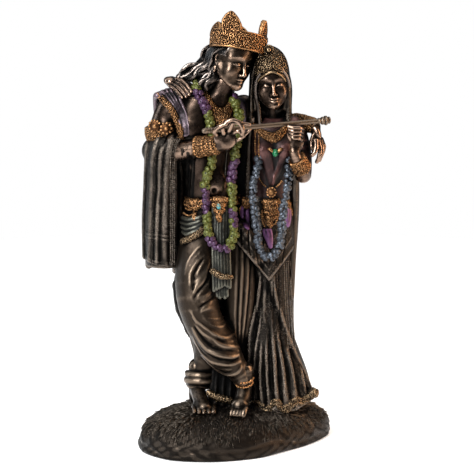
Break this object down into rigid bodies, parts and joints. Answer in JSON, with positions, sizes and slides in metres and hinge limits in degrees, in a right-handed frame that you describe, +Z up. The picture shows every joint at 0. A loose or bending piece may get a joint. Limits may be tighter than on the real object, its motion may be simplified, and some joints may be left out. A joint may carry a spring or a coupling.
{
  "type": "figurine",
  "caption": "Bronze-look figure group of a flute-playing figure in a crown and a veiled companion standing close together on an oval grassy mound",
  "frame": {"origin": "centre of the bounding box at its bottom face, which is the flat underside the group stands on", "axes": "+Z up, the group's height; +X along the mound's length, towards the veiled figure; -Y the side both figures face"},
  "size_m": [0.1277, 0.0828, 0.2735],
  "materials": {
    "antique_bronze": "dark antique bronze patina, worn warmer on the raised forms"
  },
  "bodies": {
    "root": {"figure_group": "antique_bronze"}
  },
  "joints": []
}
